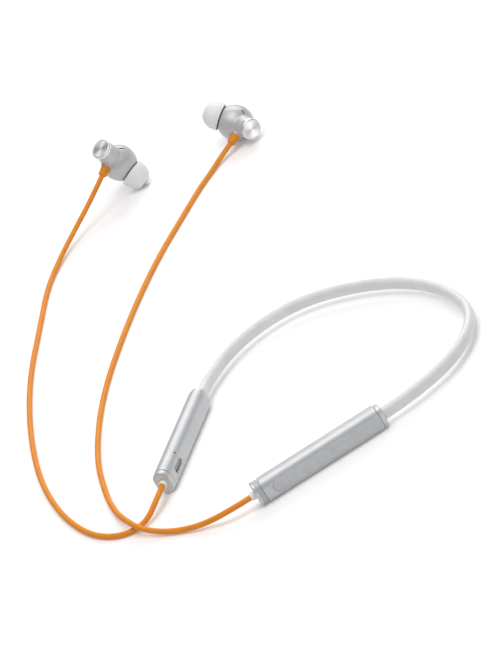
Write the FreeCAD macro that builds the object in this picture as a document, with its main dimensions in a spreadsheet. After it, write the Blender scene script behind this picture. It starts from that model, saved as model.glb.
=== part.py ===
"""Neckband earphones: a curved band with a pod at each end, and an earbud on a cable from each pod.

Millimetres, +Z up. The origin is the middle of the neck opening on the surface that the pods lie on,
+Y points to the back of the neck and +X to the battery pod. A pod's own frame has X along the pod from
the band to the cable, Y towards its open face and Z up. An earbud's own frame has Z out of its metal cap
and X along its cable collar.
"""

import FreeCAD, Part
import math
import os
import re

import Sketcher
from FreeCAD import Placement, Rotation, Vector

doc = FreeCAD.newDocument("neckband_earphones")

# ---------------------------------------------------------------- driving dimensions
DIMENSIONS = {
    # the band's centreline, one half: three arcs from the back of the neck to the pod
    "band_back_y": 62.0,
    "band_back_radius": 97.0,
    "band_back_angle": 26.5,
    "band_side_radius": 39.5,
    "band_side_angle": 73.0,
    "band_front_radius": 74.0,
    "band_front_angle": 19.5,
    "band_width": 3.8,
    "band_height": 5.2,
    "band_insertion": 3.2,
    "channel_spacing": 2.2,
    "memory_wire_radius": 0.6,
    "wiring_radius": 0.65,
    "channel_clearance": 0.05,
    "core_insertion": 8.0,
    "anchor_start": 5.2,
    "anchor_length": 3.4,
    "anchor_width": 3.0,
    "anchor_height": 4.8,
    # pods
    "pod_length": 57.0,
    "pod_width": 7.6,
    "pod_height": 10.4,
    "pod_wall": 0.9,
    "pod_edge": 0.3,
    "plate_clearance": 0.05,
    "plate_spigot": 3.0,
    "plate_step": 0.25,
    "band_plate_depth": 1.7,
    "band_plate_inset": 0.4,
    "left_plate_depth": 2.1,
    "right_plate_depth": 1.4,
    "cable_plate_inset": 0.1,
    "cable_plate_edge": 0.6,
    "waist_length": 1.8,
    "waist_inset": 0.3,
    "keel_start": 9.5,
    "keel_end": 51.0,
    "keel_top": 2.6,
    # cable collar
    "collar_radius": 1.65,
    "collar_reach": 2.0,
    "collar_flange_radius": 2.3,
    "collar_flange_depth": 0.8,
    "cable_radius": 1.15,
    "cable_seat": 1.8,
    "cable_clearance": 0.05,
    # control pod
    "board_start": 10.0,
    "board_end": 50.8,
    "board_thickness": 0.8,
    "board_bottom": 3.5,
    "board_top": 3.2,
    "port_x": 46.6,
    "port_z": -0.4,
    "port_length": 8.94,
    "port_height": 3.16,
    "port_depth": 6.1,
    "port_wall": 0.3,
    "port_recess": 0.1,
    "port_floor": 1.5,
    "tongue_length": 6.7,
    "tongue_thickness": 0.7,
    "tongue_reach": 4.0,
    "microphone_x": 42.9,
    "microphone_angle": 36.0,
    "microphone_hole_radius": 0.4,
    "microphone_length": 2.75,
    "microphone_width": 1.85,
    "microphone_thickness": 0.95,
    "microphone_outer": 2.65,
    "led_x": 49.8,
    "led_length": 1.6,
    "led_width": 0.7,
    "led_height": 0.35,
    "light_guide_radius": 0.5,
    "button_first_x": 18.0,
    "button_pitch": 9.0,
    "button_length": 6.4,
    "button_height": 2.6,
    "button_proud": 0.35,
    "button_clearance": 0.1,
    "button_flange": 0.35,
    "button_flange_depth": 0.4,
    "button_flange_gap": 0.05,
    "button_inner": 2.2,
    "button_dimple_radius": 3.0,
    "button_dimple_depth": 0.12,
    "switch_size": 3.0,
    "switch_height": 1.2,
    "switch_plunger_radius": 0.6,
    "switch_plunger_reach": 0.28,
    # battery pod
    "face_end": 49.7,
    "face_depth": 0.35,
    "face_thickness": 0.25,
    "face_clearance": 0.03,
    "face_half_height": 3.0,
    "battery_start": 10.2,
    "battery_length": 35.0,
    "battery_width": 5.0,
    "battery_height": 7.4,
    "battery_edge": 1.5,
    "protection_gap": 0.6,
    "protection_length": 4.6,
    "protection_height": 6.4,
    # earbuds: the bulb's back is a sphere, its front an arc that ends at the nozzle
    "bulb_radius": 8.33,
    "bulb_front_radius": 9.83,
    "bulb_front_plane": 6.9,
    "bulb_wall": 0.9,
    "barrel_radius": 4.8,
    "barrel_bore_radius": 4.0,
    "barrel_end": 12.7,
    "barrel_blend": 2.0,
    "cap_radius": 4.95,
    "cap_end": 14.5,
    "cap_edge": 0.3,
    "cap_dish_radius": 4.3,
    "cap_dish_depth": 0.12,
    "cap_spigot": 1.2,
    "magnet_radius": 3.2,
    "magnet_thickness": 1.5,
    "driver_radius": 7.15,
    "driver_back": 0.5,
    "driver_front": 1.7,
    "driver_yoke_radius": 4.4,
    "driver_yoke_back": 2.5,
    "dome_radius": 5.4,
    "dome_height": 0.9,
    "nozzle_radius": 2.6,
    "nozzle_spigot_radius": 4.1,
    "nozzle_bore_radius": 1.9,
    "nozzle_end": 13.0,
    "nozzle_lip_radius": 2.85,
    "nozzle_lip_length": 0.9,
    "nozzle_flange_radius": 5.0,
    "nozzle_flange_depth": 0.4,
    "nozzle_spigot_depth": 1.2,
    "nozzle_funnel_radius": 3.4,
    "mesh_thickness": 0.2,
    "mesh_recess": 0.25,
    "vent_length": 2.8,
    "vent_width": 0.8,
    "vent_mesh_radius": 1.5,
    "vent_mesh_outer": 7.15,
    "relief_height": 6.2,
    "relief_boss_radius": 2.4,
    "relief_boss_start": 3.9,
    "relief_boss_end": 5.3,
    "relief_seat": 5.3,
    "relief_radius": 2.05,
    "relief_tip_radius": 1.95,
    "relief_end": 10.0,
    "relief_neck_radius": 1.4,
    "relief_neck_start": 3.7,
    "relief_bore_radius": 1.45,
    # ear tip, along the nozzle from the middle of the bulb
    "tip_base": 7.4,
    "tip_base_radius": 6.35,
    "tip_widest": 9.2,
    "tip_widest_radius": 6.5,
    "tip_end": 15.6,
    "tip_end_radius": 2.8,
    "tip_mouth_radius": 2.2,
    "tip_wall": 0.55,
    "tip_dome_radius": 7.2,
    "tip_pocket_radius": 4.3,
    "tip_pocket_end": 13.2,
    "tip_core_radius": 3.5,
    "tip_core_base": 7.75,
    "tip_bore_radius": 2.9,
    "tip_bore_end": 13.2,
    # the earbuds where they lie: bulb centre, then the collar's heading, its fall and the roll about it
    "left_bulb_x": -257.4,
    "left_bulb_y": 127.9,
    "left_bulb_z": 14.54,
    "right_bulb_x": -212.2,
    "right_bulb_y": 165.8,
    "right_bulb_z": 8.35,
}
EARBUD_TURN = {"left": (-93.0, 24.5, -13.0), "right": (-104.5, 18.5, -95.5)}
# the nozzle's and the vent's directions in the earbud's frame; Y is negated on the right earbud
NOZZLE_AXIS = (0.235, 0.713, -0.66)
VENT_AXIS = (-0.615, 0.43, 0.66)
VENT_SLOT_AXIS = (0.42, -0.47, 0.77)

FLOOR = 1.17  # height of a cable's centreline where it lies on the surface
CABLE_LEFT_ROUTE = [
    (-28.62, -63.75, 5.2),
    (-24.01, -72.06, 5.2),
    (-23.0, -82.0, 1.7),
    (-28.8, -89.4, FLOOR),
    (-41.0, -92.4, FLOOR),
    (-57.0, -90.6, FLOOR),
    (-82.0, -82.4, FLOOR),
    (-114.0, -66.0, FLOOR),
    (-152.0, -38.8, FLOOR),
    (-188.0, -7.0, FLOOR),
    (-218.0, 26.5, FLOOR),
    (-242.0, 53.0, FLOOR),
    (-254.0, 74.5, 2.3),
    (-257.3, 90.0, 5.6),
    (-257.16, 105.79, 11.12),
    (-256.53, 117.87, 16.64),
]
CABLE_RIGHT_ROUTE = [
    (28.62, -63.75, 5.2),
    (23.58, -72.85, 5.2),
    (11.0, -79.4, 2.2),
    (-2.0, -83.8, FLOOR),
    (-13.0, -86.4, 2.0),
    (-21.0, -87.4, 4.0),
    (-32.0, -84.5, 4.0),
    (-46.0, -79.2, 1.7),
    (-63.0, -70.2, FLOOR),
    (-92.0, -50.0, FLOOR),
    (-127.0, -14.0, FLOOR),
    (-158.0, 31.0, FLOOR),
    (-182.0, 73.0, FLOOR),
    (-196.5, 107.0, FLOOR),
    (-204.5, 126.0, FLOOR),
    (-208.3, 138.5, FLOOR),
    (-210.22, 148.83, 2.39),
    (-208.12, 156.91, 5.18),
]

sheet = doc.addObject("Spreadsheet::Sheet", "Dim")
for row, (alias, size) in enumerate(DIMENSIONS.items(), start=1):
    sheet.set("A%d" % row, alias.replace("_", " "))
    sheet.set("B%d" % row, str(size))
    sheet.setAlias("B%d" % row, alias)
doc.recompute()

SUBPARTS = []


def formula(text):
    """A FreeCAD expression from a text in which dimensions are named by their aliases alone."""
    return re.sub(r"[a-z_]+\b(?!\()", lambda word: "Dim." + word.group(0), str(text))


def value(text):
    """The number that a formula gives."""
    return float(sheet.evalExpression(formula(text)))


def bind(thing, prop, text):
    thing.setExpression(prop, formula(text))


# ---------------------------------------------------------------- frames
ARC_ANGLES = ("band_back_angle", "(band_back_angle + band_side_angle)",
              "(band_back_angle + band_side_angle + band_front_angle)")
BAND_END_X = ("band_back_radius * sin({0}) + band_side_radius * (sin({1}) - sin({0}))"
              " + band_front_radius * (sin({2}) - sin({1}))").format(*ARC_ANGLES)
BAND_END_Y = ("band_back_y - band_back_radius * (1 - cos({0})) - band_side_radius * (cos({0}) - cos({1}))"
              " - band_front_radius * (cos({1}) - cos({2}))").format(*ARC_ANGLES)
BAND_TURN = "(band_back_angle + band_side_angle + band_front_angle)"
UP = Vector(0, 0, 1)


def row_frame(thing):
    """The neckband's mid-plane, at half a pod's height."""
    bind(thing, "Placement.Base.z", "pod_height / 2")


def pod_frame(side):
    """Origin where the band enters the pod, X along the pod, Y towards its open face."""
    sign, heading = {"left": ("-1", BAND_TURN + " - 180"), "right": ("1", "-" + BAND_TURN)}[side]

    def place(thing):
        thing.Placement = Placement(Vector(), Rotation(UP, 1))
        bind(thing, "Placement.Base.x", "%s * (%s)" % (sign, BAND_END_X))
        bind(thing, "Placement.Base.y", BAND_END_Y)
        bind(thing, "Placement.Base.z", "pod_height / 2")
        bind(thing, "Placement.Rotation.Angle", heading)

    return place


def handed(direction, side):
    """An earbud direction as a unit vector, mirrored on the right earbud."""
    x, y, z = direction
    vector = Vector(x, y if side == "left" else -y, z)
    return vector.normalize()


def turn_to(z_axis, x_hint):
    """The rotation that takes Z to z_axis and X as near as it can to x_hint."""
    x_axis = (x_hint - z_axis * x_hint.dot(z_axis)).normalize()
    return Rotation(x_axis, z_axis.cross(x_axis), z_axis, "ZXY")


def earbud_frame(side, along_nozzle=False):
    """Origin in the middle of the bulb, Z out of the cap, or out of the nozzle."""
    turn = Rotation(*EARBUD_TURN[side])
    if along_nozzle:
        turn = turn * turn_to(handed(NOZZLE_AXIS, side), UP)

    def place(thing):
        thing.Placement = Placement(Vector(), turn)
        for axis in "xyz":
            bind(thing, "Placement.Base." + axis, "%s_bulb_%s" % (side, axis))

    return place


# ---------------------------------------------------------------- building blocks
def new_body(label, place):
    body = doc.addObject("PartDesign::Body", label)
    body.Label = label
    body.AllowCompound = True
    place(body)
    SUBPARTS.append(body)
    return body


def origin_plane(body, role):
    return next(feature for feature in body.Origin.OriginFeatures if feature.Role == role)


def attach(body, feature, role, offset=("0", "0", "0"), turn=None):
    """Put a feature on an origin plane, moved by offset and turned within it."""
    feature.AttachmentSupport = [(origin_plane(body, role), "")]
    feature.MapMode = "FlatFace"
    if turn:
        feature.AttachmentOffset = Placement(Vector(), turn)
    for axis, text in zip("xyz", offset):
        bind(feature, "AttachmentOffset.Base." + axis, text)


def new_sketch(body, role, offset=("0", "0", "0"), turn=None):
    sketch = body.newObject("Sketcher::SketchObject", body.Label + "_sketch")
    attach(body, sketch, role, offset, turn)
    return sketch


def fix_point(sketch, item, point, x, y):
    """Tie one point of a sketch to its x and y, each a formula."""
    for kind, text, axis in (("DistanceX", x, -2), ("DistanceY", y, -1)):
        if text == "0":
            sketch.addConstraint(Sketcher.Constraint("PointOnObject", item, point, axis))
        elif value(text) > 0:
            index = sketch.addConstraint(Sketcher.Constraint(kind, -1, 1, item, point, value(text)))
            bind(sketch, "Constraints[%d]" % index, text)
        else:
            index = sketch.addConstraint(Sketcher.Constraint(kind, item, point, -1, 1, -value(text)))
            bind(sketch, "Constraints[%d]" % index, "-(%s)" % text)


def arc_between(start, end, radius, side):
    """The shorter arc from start to end: side 1 turns left on the way, -1 turns right."""
    chord = end - start
    left = Vector(-chord.y, chord.x, 0).normalize()
    height = math.sqrt(max(radius ** 2 - (chord.Length / 2) ** 2, 0))
    centre = (start + end) / 2 + left * height * side
    angles = [math.atan2(point.y - centre.y, point.x - centre.x) for point in (start, end)]
    return Part.ArcOfCircle(Part.Circle(centre, UP, radius), *angles[::side])


def draw(sketch, corners, closed=True):
    """Draw corners (x, y) joined by lines, or (x, y, radius, side) where an arc leaves the corner."""
    points = [Vector(value(corner[0]), value(corner[1]), 0) for corner in corners]
    count = len(corners) if closed else len(corners) - 1
    ends = []
    for index in range(count):
        start, end = points[index], points[(index + 1) % len(points)]
        corner = corners[index]
        if len(corner) == 2:
            item = sketch.addGeometry(Part.LineSegment(start, end))
            ends.append((item, 1, 2))
        else:
            radius, side = corner[2:]
            item = sketch.addGeometry(arc_between(start, end, value(radius), side))
            ends.append((item, 1, 2) if side > 0 else (item, 2, 1))
            constraint = sketch.addConstraint(Sketcher.Constraint("Radius", item, value(radius)))
            bind(sketch, "Constraints[%d]" % constraint, radius)
    for index, (item, first, last) in enumerate(ends):
        if closed or index < count - 1:
            following = ends[(index + 1) % count]
            sketch.addConstraint(Sketcher.Constraint("Coincident", item, last, following[0], following[1]))
        fix_point(sketch, item, first, *corners[index][:2])
    if not closed:
        fix_point(sketch, ends[-1][0], ends[-1][2], *corners[-1][:2])
    return sketch


def draw_circle(sketch, x, y, radius):
    centre = Vector(value(x), value(y), 0)
    item = sketch.addGeometry(Part.Circle(centre, UP, value(radius)))
    fix_point(sketch, item, 3, x, y)
    constraint = sketch.addConstraint(Sketcher.Constraint("Radius", item, value(radius)))
    bind(sketch, "Constraints[%d]" % constraint, radius)
    return sketch


def extrude(body, sketch, length, cut=False):
    """Pad or pocket a sketch along its own normal."""
    feature = body.newObject("PartDesign::Pocket" if cut else "PartDesign::Pad", body.Label + "_extrusion")
    feature.Profile = sketch
    feature.Reversed = cut
    bind(feature, "Length", length)
    return feature


def revolve(body, sketch, axis="V_Axis", cut=False):
    kind = "PartDesign::Groove" if cut else "PartDesign::Revolution"
    feature = body.newObject(kind, body.Label + "_turning")
    feature.Profile = sketch
    feature.ReferenceAxis = (sketch, [axis])
    feature.Angle = 360
    return feature


def add_box(body, x, y, z, cut=False, turn=None, at=None):
    """A block from low to high along each axis, or of those sizes at a corner turned in its frame."""
    kind = "PartDesign::SubtractiveBox" if cut else "PartDesign::AdditiveBox"
    feature = body.newObject(kind, body.Label + "_block")
    for size, (low, high) in zip(("Length", "Width", "Height"), (x, y, z)):
        bind(feature, size, "%s - (%s)" % (high, low))
    attach(body, feature, "XY_Plane", at or (x[0], y[0], z[0]), turn)
    return feature


def add_cylinder(body, start, direction, radius, length, cut=False):
    """A cylinder from a point along a direction."""
    kind = "PartDesign::SubtractiveCylinder" if cut else "PartDesign::AdditiveCylinder"
    feature = body.newObject(kind, body.Label + "_round")
    bind(feature, "Radius", radius)
    bind(feature, "Height", length)
    attach(body, feature, "XY_Plane", start, Rotation(UP, direction))
    return feature


def hollow(body, centre, radius):
    """A ball taken out of the body."""
    feature = body.newObject("PartDesign::SubtractiveSphere", body.Label + "_hollow")
    bind(feature, "Radius", radius)
    attach(body, feature, "XY_Plane", centre)
    return feature


def round_edges(body, radius, wanted):
    """Round the edges for which wanted(edge) is true."""
    doc.recompute()
    base = body.Tip
    names = ["Edge%d" % number for number, edge in enumerate(base.Shape.Edges, start=1) if wanted(edge)]
    feature = body.newObject("PartDesign::Fillet", body.Label + "_rounding")
    feature.Base = (base, names)
    bind(feature, "Radius", radius)
    return feature


def across_x(place):
    """Whether an edge lies in the plane across X at a place along the pod."""
    return lambda edge: abs(edge.BoundBox.XMin - value(place)) < 1e-4 and edge.BoundBox.XLength < 1e-4


def stadium(body, start, end, width, height, cut=False):
    """An upright stadium section along X."""
    half = "(%s) / 2" % width
    low, high = "-((%s) - (%s)) / 2" % (height, width), "((%s) - (%s)) / 2" % (height, width)
    bottom, top = "-(%s) / 2" % height, "(%s) / 2" % height
    corners = [(half, low), (half, high, half, 1), ("0", top, half, 1), ("-" + half, high),
               ("-" + half, low, half, 1), ("0", bottom, half, 1)]
    sketch = draw(new_sketch(body, "YZ_Plane", ("0", "0", start)), corners)
    return extrude(body, sketch, "%s - (%s)" % (end, start), cut)


def pill(body, outer, inner, x, z, length, height, cut=False):
    """A pill along X, extruded from y = outer down to y = inner."""
    radius = "(%s) / 2" % height
    reach = "((%s) - (%s)) / 2" % (length, height)
    left, right = "%s - %s" % (x, reach), "%s + %s" % (x, reach)
    far_left, far_right = "%s - (%s) / 2" % (x, length), "%s + (%s) / 2" % (x, length)
    low, high = "%s - %s" % (z, radius), "%s + %s" % (z, radius)
    corners = [(left, low), (right, low, radius, 1), (far_right, z, radius, 1), (right, high),
               (left, high, radius, 1), (far_left, z, radius, 1)]
    sketch = draw(new_sketch(body, "XZ_Plane", ("0", "0", "-(%s)" % outer)), corners)
    return extrude(body, sketch, "%s - (%s)" % (outer, inner), cut)


# ---------------------------------------------------------------- the band
def band_path(body, insertion):
    """One half of the band's centreline, from the back of the neck into the pod."""
    x1, y1 = "band_back_radius * sin({0})", "band_back_y - band_back_radius * (1 - cos({0}))"
    x2 = x1 + " + band_side_radius * (sin({1}) - sin({0}))"
    y2 = y1 + " - band_side_radius * (cos({0}) - cos({1}))"
    inside_x = "%s + %s * cos(%s)" % (BAND_END_X, insertion, BAND_TURN)
    inside_y = "%s - %s * sin(%s)" % (BAND_END_Y, insertion, BAND_TURN)
    corners = [("0", "band_back_y", "band_back_radius", -1),
               (x1.format(*ARC_ANGLES), y1.format(*ARC_ANGLES), "band_side_radius", -1),
               (x2.format(*ARC_ANGLES), y2.format(*ARC_ANGLES), "band_front_radius", -1),
               (BAND_END_X, BAND_END_Y),
               (inside_x, inside_y)]
    return draw(new_sketch(body, "XY_Plane"), corners, closed=False)


def band_run(label, insertion, z="0", radius=None):
    """A section swept along both halves of the band: the sleeve with its channels, or a round core."""
    body = new_body(label, row_frame)
    path = band_path(body, insertion)
    profile = new_sketch(body, "YZ_Plane")
    if radius:
        draw_circle(profile, "band_back_y", z, radius)
        bind(path, "AttachmentOffset.Base.z", z)
    else:
        half = "band_width / 2"
        shoulder = "(band_height - band_width) / 2"
        inner, outer = "band_back_y - " + half, "band_back_y + " + half
        corners = [(outer, "-" + shoulder), (outer, shoulder, half, 1),
                   ("band_back_y", "band_height / 2", half, 1), (inner, shoulder),
                   (inner, "-" + shoulder, half, 1), ("band_back_y", "-band_height / 2", half, 1)]
        draw(profile, corners)
        draw_circle(profile, "band_back_y", "-channel_spacing / 2", "memory_wire_radius + channel_clearance")
        draw_circle(profile, "band_back_y", "channel_spacing / 2", "wiring_radius + channel_clearance")
    run = body.newObject("PartDesign::AdditivePipe", label + "_run")
    run.Profile = profile
    run.Spine = (path, [])
    mirror = body.newObject("PartDesign::Mirrored", label + "_other_half")
    mirror.Originals = [run]
    mirror.MirrorPlane = (origin_plane(body, "YZ_Plane"), [""])
    body.Tip = mirror
    return body


band_run("band_sleeve", "band_insertion")
band_run("band_memory_wire", "core_insertion", "-channel_spacing / 2", "memory_wire_radius")
band_run("band_wiring", "core_insertion", "channel_spacing / 2", "wiring_radius")

for side in ("left", "right"):
    anchor = new_body("band_anchor_" + side, pod_frame(side))
    anchor_end = "anchor_start + anchor_length"
    add_box(anchor, ("anchor_start", anchor_end), ("-anchor_width / 2", "anchor_width / 2"),
            ("-anchor_height / 2", "anchor_height / 2"))
    add_cylinder(anchor, ("anchor_start - 1", "0", "-channel_spacing / 2"), Vector(1, 0, 0),
                 "memory_wire_radius + channel_clearance", "anchor_length + 2", cut=True)
    add_cylinder(anchor, ("anchor_start - 1", "0", "channel_spacing / 2"), Vector(1, 0, 0),
                 "wiring_radius + channel_clearance", "anchor_length + 2", cut=True)

# ---------------------------------------------------------------- parts that both pods have
INNER_WIDTH, INNER_HEIGHT = "pod_width - 2 * pod_wall", "pod_height - 2 * pod_wall"
FITTED_WIDTH = INNER_WIDTH + " - 2 * plate_clearance"
FITTED_HEIGHT = INNER_HEIGHT + " - 2 * plate_clearance"
SLEEVE_START = "band_plate_depth + plate_step"
CABLE_PLATE_START = {side: "pod_length - %s_plate_depth" % side for side in ("left", "right")}
SPIGOT_START = "(pod_length - left_plate_depth - plate_spigot)"
SLEEVE_END = {"left": CABLE_PLATE_START["left"] + " - plate_step",
              "right": CABLE_PLATE_START["right"] + " - waist_length - plate_step"}


def pod_sleeve(label, side):
    body = new_body(label, pod_frame(side))
    stadium(body, SLEEVE_START, SLEEVE_END[side], "pod_width", "pod_height")
    at_start, at_end = across_x(SLEEVE_START), across_x(SLEEVE_END[side])
    round_edges(body, "pod_edge", lambda edge: at_start(edge) or at_end(edge))
    stadium(body, SLEEVE_START + " - 1", SLEEVE_END[side] + " + 1", INNER_WIDTH, INNER_HEIGHT, cut=True)
    return body


def pod_plates(pod, side):
    plate = new_body(pod + "_band_plate", pod_frame(side))
    stadium(plate, "0", "band_plate_depth", "pod_width - 2 * band_plate_inset",
            "pod_height - 2 * band_plate_inset")
    round_edges(plate, "pod_edge", across_x("0"))
    stadium(plate, "band_plate_depth", "band_plate_depth + plate_spigot", FITTED_WIDTH, FITTED_HEIGHT)
    stadium(plate, "0", "band_plate_depth + plate_spigot", "band_width + 2 * plate_clearance",
            "band_height + 2 * plate_clearance", cut=True)
    plate = new_body(pod + "_cable_plate", pod_frame(side))
    start = CABLE_PLATE_START[side]
    stadium(plate, start, "pod_length", "pod_width - 2 * cable_plate_inset",
            "pod_height - 2 * cable_plate_inset")
    round_edges(plate, "cable_plate_edge", across_x("pod_length"))
    if side == "right":
        stadium(plate, start + " - waist_length", start, "pod_width - 2 * waist_inset",
                "pod_height - 2 * waist_inset")
    stadium(plate, SPIGOT_START, start, FITTED_WIDTH, FITTED_HEIGHT)
    add_cylinder(plate, (SPIGOT_START + " - 1", "0", "0"), Vector(1, 0, 0), "collar_radius + plate_clearance",
                 "pod_length", cut=True)


def cable_collar(side):
    body = new_body("cable_collar_" + side, pod_frame(side))
    end = "pod_length + collar_reach"
    along = Vector(1, 0, 0)
    add_cylinder(body, (SPIGOT_START, "0", "0"), along, "collar_radius", "%s - (%s)" % (end, SPIGOT_START))
    add_cylinder(body, (SPIGOT_START + " - collar_flange_depth", "0", "0"), along, "collar_flange_radius",
                 "collar_flange_depth")
    add_cylinder(body, (end + " - cable_seat", "0", "0"), along, "cable_radius + cable_clearance",
                 "cable_seat + 1", cut=True)


def keel(pod, side):
    """The bottom of the pod's inside, cut away above the slots."""
    body = new_body(pod + "_keel", pod_frame(side))
    stadium(body, "keel_start", "keel_end", FITTED_WIDTH, FITTED_HEIGHT)
    add_box(body, ("keel_start - 1", "keel_end + 1"), ("-pod_width", "pod_width"),
            ("-keel_top", "pod_height"), cut=True)
    return body


for pod, side in (("control_pod", "left"), ("battery_pod", "right")):
    pod_plates(pod, side)
    cable_collar(side)

# ---------------------------------------------------------------- control pod
CONTROL = pod_frame("left")
SHOULDER = "(pod_height - pod_width) / 2"
BUTTONS = [("volume_up_button", "button_first_x"), ("multifunction_button", "button_first_x + button_pitch"),
           ("volume_down_button", "button_first_x + 2 * button_pitch")]
FACE_AT = "(pod_width / 2 - port_recess)"
microphone_turn = math.radians(DIMENSIONS["microphone_angle"])
microphone_axis = Vector(0, math.cos(microphone_turn), math.sin(microphone_turn))

sleeve = pod_sleeve("control_pod_sleeve", "left")
pill(sleeve, "pod_width", "pod_width / 2 - 2 * pod_wall", "port_x", "port_z",
     "port_length + 2 * button_clearance", "port_height + 2 * button_clearance", cut=True)
for name, x in BUTTONS:
    pill(sleeve, "-(pod_width / 2 - 2 * pod_wall)", "-pod_width", x, "0",
         "button_length + 2 * button_clearance", "button_height + 2 * button_clearance", cut=True)
add_cylinder(sleeve, ("microphone_x", "microphone_outer * cos(microphone_angle)",
                      SHOULDER + " + microphone_outer * sin(microphone_angle)"), microphone_axis,
             "microphone_hole_radius", "pod_width / 2", cut=True)
add_cylinder(sleeve, ("led_x", "0", "board_top"), UP, "light_guide_radius + plate_clearance",
             "pod_height / 2", cut=True)

control_keel = keel("control_pod", "left")
add_box(control_keel, ("board_start - plate_clearance", "board_end + plate_clearance"),
        ("-board_thickness / 2 - plate_clearance", "board_thickness / 2 + plate_clearance"),
        ("-board_bottom", "0"), cut=True)

board = new_body("control_board", CONTROL)
add_box(board, ("board_start", "board_end"), ("-board_thickness / 2", "board_thickness / 2"),
        ("-board_bottom", "board_top"))
add_box(board, ("port_x - port_length / 2 - plate_clearance", "board_end + 1"), ("-1", "1"),
        ("port_z - port_height / 2 - plate_clearance",
         "port_z + port_height / 2 + plate_clearance"), cut=True)

port = new_body("usb_c_receptacle", CONTROL)
pill(port, FACE_AT, FACE_AT + " - port_depth", "port_x", "port_z", "port_length", "port_height")
pill(port, FACE_AT + " + 1", FACE_AT + " - port_depth + port_floor", "port_x", "port_z",
     "port_length - 2 * port_wall", "port_height - 2 * port_wall", cut=True)
add_box(port, ("port_x - tongue_length / 2", "port_x + tongue_length / 2"),
        (FACE_AT + " - port_depth + port_floor - 0.5", FACE_AT + " - port_depth + port_floor + tongue_reach"),
        ("port_z - tongue_thickness / 2", "port_z + tongue_thickness / 2"))

microphone = new_body("microphone", CONTROL)
microphone_up = Vector(1, 0, 0).cross(microphone_axis)
microphone_rotation = Rotation(Vector(1, 0, 0), microphone_axis, microphone_up, "XYZ")
inner_reach = "(microphone_outer - microphone_thickness)"
corner = ("microphone_x - microphone_length / 2",
          inner_reach + " * cos(microphone_angle) + microphone_width / 2 * sin(microphone_angle)",
          SHOULDER + " + " + inner_reach + " * sin(microphone_angle)"
          " - microphone_width / 2 * cos(microphone_angle)")
add_box(microphone, ("0", "microphone_length"), ("0", "microphone_thickness"), ("0", "microphone_width"),
        turn=microphone_rotation, at=corner)

led = new_body("status_led", CONTROL)
add_box(led, ("led_x - led_length / 2", "led_x + led_length / 2"), ("-led_width / 2", "led_width / 2"),
        ("board_top", "board_top + led_height"))
guide = new_body("status_light_guide", CONTROL)
add_cylinder(guide, ("led_x", "0", "board_top + led_height + plate_clearance"), UP, "light_guide_radius",
             "pod_height / 2 - board_top - led_height - 2 * plate_clearance")

switches = new_body("button_switches", CONTROL)
for name, x in BUTTONS:
    add_box(switches, (x + " - switch_size / 2", x + " + switch_size / 2"),
            ("-board_thickness / 2 - switch_height", "-board_thickness / 2"),
            ("-switch_size / 2", "switch_size / 2"))
    add_cylinder(switches, (x, "-board_thickness / 2 - switch_height + 0.1", "0"), Vector(0, -1, 0),
                 "switch_plunger_radius", "switch_plunger_reach + 0.1")

for name, x in BUTTONS:
    button = new_body(name, CONTROL)
    pill(button, "-button_inner", "-(pod_width / 2 + button_proud)", x, "0", "button_length", "button_height")
    flange_outer = "(pod_width / 2 - pod_wall - button_flange_gap)"
    pill(button, "-(%s - button_flange_depth)" % flange_outer, "-" + flange_outer, x, "0",
         "button_length + 2 * button_flange", "button_height + 2 * button_flange")
    if name == "multifunction_button":
        reach = "-(pod_width / 2 + button_proud + button_dimple_radius - button_dimple_depth)"
        hollow(button, (x, reach, "0"), "button_dimple_radius")

# ---------------------------------------------------------------- battery pod
BATTERY = pod_frame("right")
FACE_OUTER = "(pod_width / 2 - face_depth)"


def face_outline(body, outer, inner, margin, start, cut=False):
    """The flat face's outline: straight at the band end, round at the other."""
    half = "(face_half_height - %s)" % margin
    centre = "face_end - face_half_height"
    corners = [(start, "-" + half), (centre, "-" + half, half, 1), ("%s + %s" % (centre, half), "0", half, 1),
               (centre, half), (start, half)]
    sketch = draw(new_sketch(body, "XZ_Plane", ("0", "0", "-(%s)" % outer)), corners)
    return extrude(body, sketch, "%s - (%s)" % (outer, inner), cut)


sleeve = pod_sleeve("battery_pod_sleeve", "right")
face_outline(sleeve, "pod_width", FACE_OUTER + " - face_thickness", "0", "band_plate_depth", cut=True)
face = new_body("battery_pod_face", BATTERY)
face_outline(face, FACE_OUTER, FACE_OUTER + " - face_thickness", "face_clearance", SLEEVE_START)

cell = new_body("battery_cell", BATTERY)
half_width, half_height = "battery_width / 2", "battery_height / 2"
flat_y, flat_z = "(battery_width / 2 - battery_edge)", "(battery_height / 2 - battery_edge)"
corners = [(half_width, "-" + flat_z), (half_width, flat_z, "battery_edge", 1), (flat_y, half_height),
           ("-" + flat_y, half_height, "battery_edge", 1), ("-" + half_width, flat_z),
           ("-" + half_width, "-" + flat_z, "battery_edge", 1), ("-" + flat_y, "-" + half_height),
           (flat_y, "-" + half_height, "battery_edge", 1)]
extrude(cell, draw(new_sketch(cell, "YZ_Plane", ("0", "0", "battery_start")), corners), "battery_length")

protection_start = "(battery_start + battery_length + protection_gap)"
protection = new_body("battery_protection_board", BATTERY)
add_box(protection, (protection_start, protection_start + " + protection_length"),
        ("-board_thickness / 2", "board_thickness / 2"), ("-protection_height / 2", "protection_height / 2"))

battery_keel = keel("battery_pod", "right")
add_box(battery_keel, ("battery_start - plate_clearance", "battery_start + battery_length + plate_clearance"),
        ("-battery_width / 2 - plate_clearance", "battery_width / 2 + plate_clearance"),
        ("-battery_height / 2 - plate_clearance", "0"), cut=True)
add_box(battery_keel, (protection_start + " - plate_clearance",
                       protection_start + " + protection_length + plate_clearance"),
        ("-board_thickness / 2 - plate_clearance", "board_thickness / 2 + plate_clearance"),
        ("-protection_height / 2 - plate_clearance", "0"), cut=True)

# ---------------------------------------------------------------- earbuds
FRONT_X = "(sqrt({0} ^ 2 - {1} ^ 2) - (bulb_front_radius - bulb_radius))"


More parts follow.
